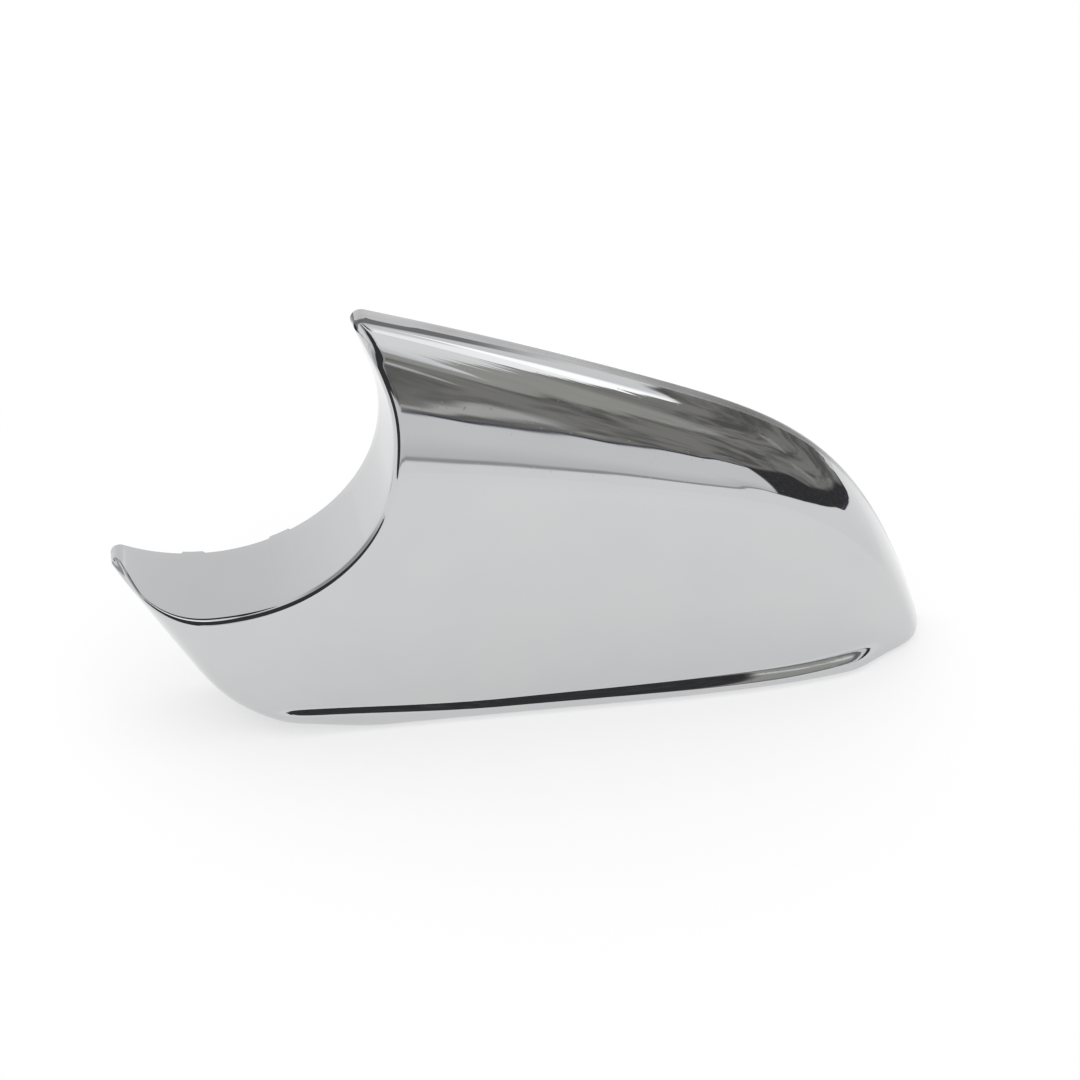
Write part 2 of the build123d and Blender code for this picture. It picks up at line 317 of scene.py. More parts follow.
def place(plan, d):
    return np.stack((plan[..., 0], np.broadcast_to(d, plan[..., 0].shape), plan[..., 1]), axis=-1)


def skinRows(s, inset, lipRound, baseRound, rows, lipRows):
    # lip of the scoop, the face out to the edge, and the rounding at the edge
    tips = (s.scoop[0], s.scoop[-1]) if inset == 0 else ()
    depthAt = lambda plan: faceDepth(plan[..., 0], plan[..., 1], inset, tips)
    lip = depthAt(s.scoop)
    for _ in range(g.lipTurns):
        lip = 0.5 * lip + 0.5 * depthAt(s.scoop + s.inward * (s.opens * lip)[:, None])
    lipPlan = s.scoop + s.inward * (s.opens * lip)[:, None]
    gap = np.linalg.norm(s.outer - lipPlan, axis=1)
    slope = np.abs(depthAt(lipPlan + s.inward * g.probe) - lip) / g.probe
    k = np.minimum(lipRound, g.roundShare * gap)
    kFace = k / np.hypot(1, slope)
    wallTop = np.maximum(lip - np.minimum(k, g.roundShare * lip), 0)
    startPlan = lipPlan + s.inward * kFace[:, None]
    start = place(startPlan, depthAt(startPlan))
    wallPlan = s.scoop + s.inward * (s.opens * wallTop)[:, None]
    lipSet = curved(place(wallPlan, wallTop), start, place(lipPlan, lip), lipRows)
    # face
    edgeDepth = depthAt(s.outer)
    cut = ease(1 - turned(s.outer[:, 0], s.outer[:, 1], inset), *g.cutSpan)  # 1 where the edge is cut flat
    far = np.linalg.norm(s.outer - startPlan, axis=1)
    power = soften(c.edgePower - cut, g.powerSoften)
    back = np.minimum(g.leastRound + baseRound * cut, g.backShare * far)
    near, off = np.minimum(g.pullShare * far, g.lipPull), np.minimum(g.pullShare * far, g.edgePull)
    stop = 1 - np.clip(back / np.maximum(off, 1e-9), 0, g.roundShare)
    t = (1 - (1 - np.linspace(0, 1, rows)[:, None]) ** power[None, :]) * stop
    t = t[..., None]
    m0, m1 = s.inward * near[:, None], s.heading * off[:, None]
    plan = ((2 * t ** 3 - 3 * t ** 2 + 1) * startPlan + (t ** 3 - 2 * t ** 2 + t) * m0
            + (3 * t ** 2 - 2 * t ** 3) * s.outer + (t ** 3 - t ** 2) * m1)
    face = list(place(plan, depthAt(plan)))
    drop = np.minimum(g.leastRound + baseRound * cut, g.roundShare * edgeDepth)
    corner = place(s.outer, edgeDepth)
    edgeSet = curved(face[-1], place(s.outer, edgeDepth - drop), corner, g.edgeRows)
    return SimpleNamespace(wallTop=place(wallPlan, wallTop), lip=lipSet, face=face, edge=edgeSet)


def shellRows():
    outside = sides(0.0, c.hornLow, c.hornHigh)
    inside = sides(c.wall, c.hollowRound, c.hollowRound)
    skinOut = skinRows(outside, 0.0, g.lipRound, g.baseRound, g.faceRows, g.lipRows)
    skinIn = skinRows(inside, c.wall, g.insideLip, g.insideBase, g.insideRows, g.insideLipRows)
    tabs = np.zeros(len(outside.angle))  # small tabs on the scoop's rim
    for a in g.tabAngles:
        away = np.abs(outside.angle - math.radians(a)) * c.neckRadius - g.tabWidth / 2
        tabs += 1 - ease(away, *g.tabSoft)
    low = -g.tabProud * tabs
    k = g.rimRound
    across = unit(inside.scoop - outside.scoop)
    over = unit(inside.outer - outside.outer)
    rows, finish = [], []

    def add(some, kind):
        rows.extend(some)
        finish.extend([kind] * len(some))

    rim = lambda a, b, corner: curved(a, b, corner, g.rimRows)
    scoopRim, edgeRim = place(outside.scoop, low + k), place(outside.outer, k)
    hollowRim, hollowEdge = place(inside.scoop, low + k), place(inside.outer, k)
    add(rim(place(outside.scoop + across * k, low), scoopRim, place(outside.scoop, low))[:-1], "rim")
    add(runs(scoopRim, skinOut.wallTop, g.wallRows)[:-1], "face")
    add(skinOut.lip, "face")
    add(skinOut.face[1:], "face")
    add(skinOut.edge[1:], "face")
    add(runs(skinOut.edge[-1], edgeRim, g.landRows)[1:-1], "land")
    add(rim(edgeRim, place(outside.outer + over * k, 0.0), place(outside.outer, 0.0)), "land")
    add(rim(place(inside.outer - over * k, 0.0), hollowEdge, place(inside.outer, 0.0)), "rim")
    add(runs(hollowEdge, skinIn.edge[-1], g.insideLandRows)[1:-1], "inside")
    add(skinIn.edge[::-1], "inside")
    add(skinIn.face[::-1][1:], "inside")
    add(skinIn.lip[::-1][1:], "inside")
    add(runs(skinIn.wallTop, hollowRim, g.insideWallRows)[1:-1], "inside")
    add(rim(hollowRim, place(inside.scoop - across * k, low), place(inside.scoop, low)), "rim")
    return np.array(rows), finish


def buildShell():
    rows, finish = shellRows()
    count, columns = rows.shape[:2]
    points = toFrame(rows[..., 0], rows[..., 1], rows[..., 2]).reshape(-1, 3)
    quads, kinds = [], []
    order = {"face": 0, "land": 1, "rim": 1, "inside": 2}
    for r in range(count):
        nxt = (r + 1) % count
        kind = order[finish[r]]
        for i in range(columns - 1):
            a, b = r * columns + i, nxt * columns + i
            quads.append((a, a + 1, b + 1, b))
            kinds.append(kind)
    mesh = bpy.data.meshes.new("coverShell")
    mesh.from_pydata(points.tolist(), [], quads)
    mesh.polygons.foreach_set("material_index", kinds)
    mesh.update()
    bm = bmesh.new()
    bm.from_mesh(mesh)
    bmesh.ops.remove_doubles(bm, verts=bm.verts, dist=g.weld)
    bmesh.ops.dissolve_degenerate(bm, edges=bm.edges, dist=g.sliver)
    bmesh.ops.recalc_face_normals(bm, faces=bm.faces)
    for face in bm.faces:
        face.smooth = True
    loose = sum(1 for e in bm.edges if len(e.link_faces) != 2)
    bm.to_mesh(mesh)
    bm.free()
    shell = bpy.data.objects.new("coverShell", mesh)
    bpy.context.scene.collection.objects.link(shell)
    print("shell:", len(mesh.polygons), "faces,", loose, "open edges")
    return shell


coverShell = buildShell()
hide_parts("mirror_cover")


# moulded fittings inside the hollow
fittings = {
    "bossRing": 64.0, "bossAngles": (-75.0, -15.0), "bossRadius": 3.6, "bossBore": 1.45,
    "bossBack": 4.0, "boreDepth": 12.0, "boreLead": 0.5, "bossSoft": 0.4,
    "webFirst": -97.0, "webPitch": 44.0, "webCount": 3, "webThick": 1.6, "webReach": 11.0, "webBack": 8.0,
    "hookFirst": -46.0, "hookPitch": 52.0, "hookCount": 3, "hookWidth": 10.0, "hookThick": 2.0,
    "hookRoot": 10.0, "hookCatch": 1.4, "catchLength": 3.2,
    "barFirst": -16.0, "barPitch": 48.0, "barCount": 2, "barLength": 14.0, "barWidth": 2.0,
    "barProud": 1.2, "barBack": 3.0,
    "pegX": 78.0, "pegZ": 22.0, "pegRadius": 2.5, "pegReach": 3.0, "pegBevel": 0.8, "pegSoft": 0.3,
    "postRadius": 4.0, "postBack": 4.0, "footTall": 2.0, "footWide": 1.0,  # posts widen at the foot
    "sink": 0.4,  # how far they run into the walls
    "soft": 0.25, "softSteps": 3,  # rounding of their edges
    "cornerShare": 0.45, "cornerSteps": 4, "turnSteps": 56,
}
f = SimpleNamespace(**fittings)


def newPiece(name, bm):
    bmesh.ops.recalc_face_normals(bm, faces=bm.faces)
    for face in bm.faces:
        face.smooth = True
    mesh = bpy.data.meshes.new(name)
    bm.to_mesh(mesh)
    bm.free()
    piece = bpy.data.objects.new(name, mesh)
    bpy.context.scene.collection.objects.link(piece)
    weigh = piece.modifiers.new("evenShading", "WEIGHTED_NORMAL")
    weigh.keep_sharp = True
    print(name + ":", len(mesh.polygons), "faces")
    return piece


def rounded(points, radius):
    # profile with its corners rounded off
    p = [np.array(q, float) for q in points]
    out = [p[0]]
    steps = np.linspace(0, 1, f.cornerSteps + 1)
    for a, b, d in zip(p, p[1:], p[2:]):
        r = min(radius, f.cornerShare * np.linalg.norm(a - b), f.cornerShare * np.linalg.norm(d - b))
        s, e = b + unit(a - b) * r, b + unit(d - b) * r
        out.extend((1 - t) ** 2 * s + 2 * t * (1 - t) * b + t * t * e for t in steps)
    return out + [p[-1]]


def turnRound(bm, x, z, profile):
    # turns a profile of radius and depth round an axis that runs into the cover
    count, rings = f.turnSteps, []
    for r, d in profile:
        if r < 1e-6:
            rings.append([bm.verts.new(toFrame(x, d, z))])
            continue
        a = np.linspace(0, 2 * math.pi, count, endpoint=False)
        rings.append([bm.verts.new(p) for p in toFrame(x + r * np.cos(a), d, z + r * np.sin(a))])
    for low, high in zip(rings, rings[1:]):
        for k in range(count):
            n = (k + 1) % count
            loop = [low[k % len(low)], low[n % len(low)], high[n % len(high)], high[k % len(high)]]
            bm.faces.new(list(dict.fromkeys(loop)))


def softBlock(bm, front, back):
    # block between two matching outlines, with its edges rounded
    one = bmesh.new()
    a, b = [one.verts.new(p) for p in front], [one.verts.new(p) for p in back]
    one.faces.new(a)
    one.faces.new(b[::-1])
    for k in range(len(a)):
        n = (k + 1) % len(a)
        one.faces.new((a[k], b[k], b[n], a[n]))
    bmesh.ops.recalc_face_normals(one, faces=one.faces)
    bmesh.ops.bevel(one, geom=one.edges[:], offset=f.soft / 1000, segments=f.softSteps,
                    profile=0.5, affect="EDGES")
    whole = bpy.data.meshes.new("softBlock")
    one.to_mesh(whole)
    one.free()
    bm.from_mesh(whole)
    bpy.data.meshes.remove(whole)


def buildBosses():
    bm = bmesh.new()
    for angle in f.bossAngles:
        a = math.radians(angle)
        x, z = c.neckX + f.bossRing * math.cos(a), c.neckZ + f.bossRing * math.sin(a)
        foot = float(faceDepth(x, z, c.wall)) + f.sink
        bottom, front = f.bossBack + f.boreDepth, f.bossBack
        hole = [(0, bottom), (f.bossBore, bottom), (f.bossBore, front + f.boreLead),
                (f.bossBore + f.boreLead, front)]
        post = [(f.bossRadius, front), (f.bossRadius, foot - f.footTall),
                (f.bossRadius + f.footWide, foot), (0, foot)]
        turnRound(bm, x, z, rounded(hole + post, f.bossSoft))
    return newPiece("screwBosses", bm)


def buildWebs():
    bm = bmesh.new()
    root, half = c.neckRadius + c.wall, f.webThick / 2
    for k in range(f.webCount):
        a = math.radians(f.webFirst + f.webPitch * k)
        out, side = np.array((math.cos(a), math.sin(a))), np.array((-math.sin(a), math.cos(a)))
        at = lambda r: np.array((c.neckX, c.neckZ)) + out * r
        foot = min(float(faceDepth(*at(r), c.wall)) for r in (root, root + f.webReach)) + f.sink
        corners = [(root, f.webBack), (root, foot), (root + f.webReach, foot)]
        faces = [[toFrame(*np.insert(at(r) + side * w, 1, d)) for r, d in corners] for w in (-half, half)]
        softBlock(bm, *faces)
    return newPiece("neckWebs", bm)


def buildHooks():
    bm = bmesh.new()
    low = c.flatZ + c.wall - f.sink
    high = low + f.sink + f.hookThick
    catch = c.hookReach - f.catchLength
    side = [(-f.hookRoot, low), (c.hookReach, low), (c.hookReach, high - f.hookCatch / 2),
            (catch, high + f.hookCatch), (catch, high), (-f.hookRoot, high)]
    for k in range(f.hookCount):
        x = f.hookFirst + f.hookPitch * k
        faces = [[toFrame(x + w, -y, z) for y, z in side] for w in (-f.hookWidth / 2, f.hookWidth / 2)]
        softBlock(bm, *faces)
    return newPiece("snapHooks", bm)


def buildBars():
    bm = bmesh.new()
    for k in range(f.barCount):
        x = f.barFirst + f.barPitch * k
        fall = float(topFall(x))
        under = float(topLine(x)) - c.wall * math.hypot(1, fall)
        along = np.array((1.0, -fall)) / math.hypot(1, fall)
        down = np.array((along[1], -along[0]))
        at = lambda u, v: np.array((x, under)) + along * u + down * v
        half, deep = f.barLength / 2, f.barWidth / 2
        ends = [(-half, -f.sink), (half, -f.sink), (half, f.barProud), (-half, f.barProud)]
        faces = [[toFrame(*np.insert(at(u, v), 1, f.barBack + w)) for u, v in ends] for w in (-deep, deep)]
        softBlock(bm, *faces)
    return newPiece("catchBars", bm)


def buildPeg():
    bm = bmesh.new()
    foot = float(faceDepth(f.pegX, f.pegZ, c.wall)) + f.sink
    reach, wide = f.pegReach, f.postRadius
    pin = [(0, -reach), (f.pegRadius - f.pegBevel, -reach), (f.pegRadius, f.pegBevel - reach)]
    post = [(f.pegRadius, f.postBack), (wide, f.postBack), (wide, foot - f.footTall),
            (wide + f.footWide, foot), (0, foot)]
    turnRound(bm, f.pegX, f.pegZ, rounded(pin + post, f.pegSoft))
    return newPiece("locatingPeg", bm)


innerPieces = [buildBosses(), buildWebs(), buildHooks(), buildBars(), buildPeg()]
for piece in [coverShell] + innerPieces:
    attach(piece, "root")


# short ways to lay out nodes
def addNode(tree, kind, values=None, **settings):
    made = tree.nodes.new(kind)
    for key, value in settings.items():
        setattr(made, key, value)
    for key, value in (values or {}).items():
        if isinstance(value, bpy.types.NodeSocket):
            tree.links.new(value, made.inputs[key])
        else:
            made.inputs[key].default_value = value
    return made


def calc(tree, operation, *values):
    return addNode(tree, "ShaderNodeMath", dict(enumerate(values)), operation=operation).outputs[0]


def ramp(tree, value, low, high, start=0.0, end=1.0, kind="SMOOTHSTEP"):
    values = {"Value": value, "From Min": low, "From Max": high, "To Min": start, "To Max": end}
    return addNode(tree, "ShaderNodeMapRange", values, interpolation_type=kind).outputs["Result"]


def noise(tree, where, scale, detail, **more):
    values = {"Vector": where, "Scale": scale, "Detail": detail, **more}
    return addNode(tree, "ShaderNodeTexNoise", values).outputs[0]


def blend(tree, factor, one, other):
    return addNode(tree, "ShaderNodeMix", {0: factor, 6: one, 7: other}, data_type="RGBA").outputs[2]


def drawnLine(tree, value, points, low=-20.0, high=60.0):
    # height in degrees along a line that is drawn by its points
    first, last = points[0][0], points[-1][0]
    made = addNode(tree, "ShaderNodeFloatCurve", {"Value": ramp(tree, value, first, last, kind="LINEAR")})
    line = made.mapping.curves[0]
    spots = [((a - first) / (last - first), (h - low) / (high - low)) for a, h in points]
    line.points[0].location, line.points[1].location = spots[0], spots[-1]
    for spot in spots[1:-1]:
        line.points.new(*spot)
    for p in line.points:
        p.handle_type = "AUTO_CLAMPED"
    made.mapping.update()
    return calc(tree, "MULTIPLY_ADD", made.outputs[0], high - low, low)


# plating marks, shared by every finish: cloudy gloss, small flecks and a slight swell of the surface
platingForm = {
    "inputs": (("Cloud Scale", 40.0), ("Fleck Scale", 900.0), ("Gloss Low", 0.03), ("Gloss High", 0.06)),
    "cloud": (0.35, 0.7), "fleck": (0.77, 0.83), "fleckRough": 0.08, "fleckDent": 0.05,
}


def platingMarksGroup():
    w = SimpleNamespace(**platingForm)
    tree = bpy.data.node_groups.new("platingMarks", "ShaderNodeTree")
    tree.interface.new_socket("Vector", in_out="INPUT", socket_type="NodeSocketVector")
    for name, start in w.inputs:
        made = tree.interface.new_socket(name, in_out="INPUT", socket_type="NodeSocketFloat")
        made.default_value = start
    for name in ("Roughness", "Cloud", "Height"):
        tree.interface.new_socket(name, in_out="OUTPUT", socket_type="NodeSocketFloat")
    given = tree.nodes.new("NodeGroupInput").outputs
    result = tree.nodes.new("NodeGroupOutput").inputs
    cloud = noise(tree, given["Vector"], given["Cloud Scale"], 2.0)
    fine = noise(tree, given["Vector"], given["Fleck Scale"], 0.0)
    clear = ramp(tree, cloud, *w.cloud)
    fleck = ramp(tree, fine, *w.fleck)
    gloss = ramp(tree, clear, 0.0, 1.0, given["Gloss Low"], given["Gloss High"], "LINEAR")
    rough = calc(tree, "ADD", gloss, calc(tree, "MULTIPLY", fleck, w.fleckRough))
    height = calc(tree, "SUBTRACT", cloud, calc(tree, "MULTIPLY", fleck, w.fleckDent))
    for name, value in (("Roughness", rough), ("Cloud", clear), ("Height", height)):
        tree.links.new(value, result[name])
    return tree


# lines that run along the moulding, on the satin strip and in the hollow
lineForm = {"stretch": (12.0, 1500.0, 12.0), "line": (0.3, 0.7), "share": 0.7}


def lengthwiseGroup():
    tree = bpy.data.node_groups.new("lengthwiseLines", "ShaderNodeTree")
    tree.interface.new_socket("Vector", in_out="INPUT", socket_type="NodeSocketVector")
    made = tree.interface.new_socket("Line Scale", in_out="INPUT", socket_type="NodeSocketFloat")
    made.default_value = 1.0
    tree.interface.new_socket("Line", in_out="OUTPUT", socket_type="NodeSocketFloat")
    given = tree.nodes.new("NodeGroupInput").outputs
    result = tree.nodes.new("NodeGroupOutput").inputs
    ways = {0: given["Vector"], 1: lineForm["stretch"]}
    flat = addNode(tree, "ShaderNodeVectorMath", ways, operation="MULTIPLY")
    grain = noise(tree, flat.outputs[0], given["Line Scale"], 3.0)
    tree.links.new(ramp(tree, grain, *lineForm["line"]), result["Line"])
    return tree


platingMarks = platingMarksGroup()
lengthwiseLines = lengthwiseGroup()

# each finish's crease values give the depths where it takes the painted shade line along the crease
finishes = {
    "brightChrome": {
        "light": (0.603, 0.606, 0.611, 1), "dark": (0.588, 0.594, 0.603, 1), "gloss": (0.02, 0.05),
        "cloud": 38.0, "fleck": 1100.0, "swell": 0.000012, "lines": 0.0, "crease": (1.9, 1.3),
    },
    "satinRim": {
        "light": (0.62, 0.622, 0.626, 1), "dark": (0.48, 0.483, 0.488, 1), "gloss": (0.22, 0.32),
        "cloud": 60.0, "fleck": 800.0, "swell": 0.00001, "lines": 1.0, "crease": (-0.6, 0.2),
    },
    "dullInside": {
        "light": (0.50, 0.505, 0.51, 1), "dark": (0.40, 0.405, 0.412, 1), "gloss": (0.30, 0.44),
        "cloud": 25.0, "fleck": 600.0, "swell": 0.00004, "lines": 0.15, "crease": None,
    },
}
# painted shade: a dark line along the crease between the flat strip and the turned edge, standing in for the
# dark reflection there
shadeLineAlongCrease = {
    "along": (-62.0, 20.0), "narrows": 1.6, "ends": (0.5, 1.0, 1.0, 0.0), "upper": (103.0, 106.0),
    "colour": (0.15, 0.15, 0.158, 1),
}


def platedFinish(name):
    w = SimpleNamespace(**finishes[name])
    made = bpy.data.materials.new(name)
    made.use_nodes = True
    tree = made.node_tree
    shader = tree.nodes["Principled BSDF"]
    shader.inputs["Metallic"].default_value = 1.0
    where = tree.nodes.new("ShaderNodeTexCoord").outputs["Object"]
    marks = tree.nodes.new("ShaderNodeGroup")
    marks.node_tree = platingMarks
    tree.links.new(where, marks.inputs["Vector"])
    settings = {"Cloud Scale": w.cloud, "Fleck Scale": w.fleck,
                "Gloss Low": w.gloss[0], "Gloss High": w.gloss[1]}
    for key, value in settings.items():
        marks.inputs[key].default_value = value
    tone = marks.outputs["Cloud"]
    if w.lines:
        lines = tree.nodes.new("ShaderNodeGroup")
        lines.node_tree = lengthwiseLines
        lines.inputs["Line Scale"].default_value = w.lines
        tree.links.new(where, lines.inputs["Vector"])
        plain = calc(tree, "MULTIPLY", tone, 1 - lineForm["share"])
        tone = calc(tree, "MULTIPLY_ADD", lines.outputs["Line"], lineForm["share"], plain)
    colour = blend(tree, tone, w.light, w.dark)
    if w.crease:  # painted shade: a dark line painted where the flat strip meets the turned edge, standing in for the dark reflection in that crease, narrowing along it
        at = addNode(tree, "ShaderNodeSeparateXYZ", {0: where}).outputs
        x = calc(tree, "MULTIPLY_ADD", at[0], 1000.0, -shiftX)
        d = calc(tree, "MULTIPLY_ADD", at[1], -1000.0, shiftY)
        z = calc(tree, "MULTIPLY_ADD", at[2], 1000.0, -shiftZ)
        narrow = ramp(tree, x, *shadeLineAlongCrease["along"])
        past = calc(tree, "SUBTRACT", d, calc(tree, "MULTIPLY_ADD", narrow, -shadeLineAlongCrease["narrows"], c.land))
        inside = ramp(tree, past, *w.crease)
        under = calc(tree, "MULTIPLY_ADD", x, c.topSlope, z)
        there = calc(tree, "MULTIPLY", ramp(tree, narrow, *shadeLineAlongCrease["ends"]),
                     ramp(tree, under, *shadeLineAlongCrease["upper"]))
        colour = blend(tree, calc(tree, "MULTIPLY", inside, there), colour, shadeLineAlongCrease["colour"])
    tree.links.new(colour, shader.inputs["Base Color"])
    tree.links.new(marks.outputs["Roughness"], shader.inputs["Roughness"])
    swell = {"Height": marks.outputs["Height"], "Strength": 1.0, "Distance": w.swell}
    bump = addNode(tree, "ShaderNodeBump", swell)
    tree.links.new(bump.outputs[0], shader.inputs["Normal"])
    return made


for name in ("brightChrome", "satinRim", "dullInside"):
    coverShell.data.materials.append(platedFinish(name))
for piece in innerPieces:
    piece.data.materials.append(coverShell.data.materials[2])
print("finishes:", [m.name for m in coverShell.data.materials])


# the studio round the cover: a light room with a dark side, which the chrome shows as its dark band
surround = {
    # lines are drawn by azimuth and height in degrees, straight ahead is 0
    "bandLow": [
        (-20, -0.5), (9.5, -0.5), (11, 0.6), (12.5, 1.5), (13.7, 2.9), (15.8, 5.3), (17.4, 7.4), (19.3, 9.9),
        (22, 12.3), (26, 16.3), (31.6, 21), (37.4, 23.7), (47, 27.1), (54, 27), (62, 22), (75, 15), (88, 9),
        (101, 0), (115, -6), (126, -12), (132, -15.5), (136, -17), (138.5, -16), (140, 0), (152, 2), (160, 2)],
    "bandHigh": [
        (-20, 20), (8, 34), (16, 38), (24, 39.5), (30, 37.5), (34, 36.6), (45, 43.1), (53, 46.4), (66, 49.6),
        (84, 50.9), (101, 49.1), (111, 45.1), (119, 41.2), (127, 34.5), (131, 30.5), (133, 27.5), (139.5, 21),
        (146, 16), (149, 8), (150, 3), (160, -5)],
    "bandMid": [
        (-20, 5), (10, 4.5), (14, 10), (19, 17), (24, 23), (28, 26.5), (37, 33), (54, 40), (70, 42.5),
        (80, 41), (101, 34), (115, 20), (125, 8), (138, 0), (150, 2), (160, -2)],
    "panelTop": [
        (30, 28), (60, 28), (75, 27), (84, 24), (88, 17), (95, 13.5), (103, 9), (118, -1), (128, -8),
        (138, -17), (160, -20)],
    "floorLine": [
        (-60, -19), (0, -18), (5.8, -17.2), (8.3, -15.5), (10, -14.3), (12.8, -11.4), (18, -8), (24, -3.6),
        (33.4, 4.0), (40, 4.2), (67, 6.8), (88, 5), (101, 0.7), (115, -5.2), (126, -11.5), (132, -15),
        (136, -16.5), (140, -16.5), (150, -20), (180, -25)],
    "pale": (0.97, 0.97, 0.975, 1), "front": (0.835, 0.84, 0.85, 1), "behind": (0.83, 0.83, 0.835, 1),
    "above": (1.05, 1.05, 1.05, 1), "bright": (1.36, 1.36, 1.36, 1), "white": (1.65, 1.65, 1.65, 1),
    "deep": (0.12, 0.119, 0.115, 1), "shade": (0.275, 0.27, 0.255, 1), "worn": (0.46, 0.455, 0.43, 1),
    "paleStreak": (0.58, 0.58, 0.565, 1), "edge": (0.05, 0.05, 0.085, 1), "black": (0.04, 0.04, 0.044, 1),
    "soot": (0.075, 0.075, 0.076, 1), "side": (0.42, 0.425, 0.43, 1), "line": (0.40, 0.40, 0.405, 1),
    "swayScale": 16.0, "swayBand": 5.0, "swayFloor": 0.8, "gritScale": 70.0, "sootGrit": (0.46, 0.68),
    # masks: from, to and softness, or from, to and the two ends of a fade
    "backRise": (-5.0, 55.0), "frontTurn": (60.0, 130.0), "aboveRise": (50.0, 82.0),
    "sidePatch": (-110.0, -62.0, -4.0, 42.0, 9.0), "whitePatch": (124.0, 136.0, 26.0, 40.0, 1.5),
    "overBand": (0.0, 14.0, 2.0), "overTurn": (40.0, 128.0, 5.0),
    "brightBand": (-0.3, 8.0, 1.5), "brightTurn": (100.0, 137.5, 1.5),
    "ceilingStrip": (58.0, 77.0, 1.5), "ceilingTurn": (92.0, 100.0),
    "ceilingLamp": (10.0, 70.0, 79.0, 86.0, 1.0),
    "floorShade": (0.0, 9.0, 0.3, 0.0), "floorPale": (-0.9, 0.0, 1.0, 0.0),
    "floorEdge": (-0.75, 0.75, 0.4), "floorTurn": (-7.0, 42.0, 3.0),
    "streakRun": (0.055, 2.6), "streakRough": 0.66, "streakBend": 0.35,
    "streakTone": (0.36, 0.6), "jag": 0.9,
    "wornJag": (0.15, 0.4, 0.0, 0.85), "wornTurn": (92.0, 112.0, 1.0, 0.0),
    "paleJag": (-0.74, -0.4, 0.06), "paleTurn": (20.0, 26.0, 0.95, 0.0),
    "edgeRise": (0.5, 1.0, 1.0, 0.0), "lowRise": (-0.2, 0.2), "highFall": (-0.4, 0.4, 1.0, 0.0),
    "bandTurn": (9.0, 149.0, 1.5),
    "panelLean": (5.0, 0.65), "panelLeft": (38.0, 39.0), "panelTurn": (30.0, 138.5, 1.0),
    "panelFoot": (-0.3, 0.3), "panelFade": (-1.0, 1.5, 1.0, 0.0),
    "darkLean": (10.0, 0.3), "darkRight": (9.0, 11.0, 1.0, 0.0), "darkTop": (72.0, 77.0, 1.0, 0.0),
    "darkFoot": (-14.0, -5.0, -22.0, 4.0), "footRise": (-1.0, 1.0), "darkLeft": (-64.0, -52.0),
    "paleThings": (  # patch, strength and colour
        ((22.6, 25.0, 24.2, 26.6, 0.5), 0.9, "front"),
        ((120.0, 128.0, 14.5, 18.5, 0.7), 0.8, "worn"),
        ((105.5, 110.0, 10.5, 19.0, 0.7), 0.8, "worn")),
    "speckle": (0.4, 0.6), "speckleLeast": 0.4,
}


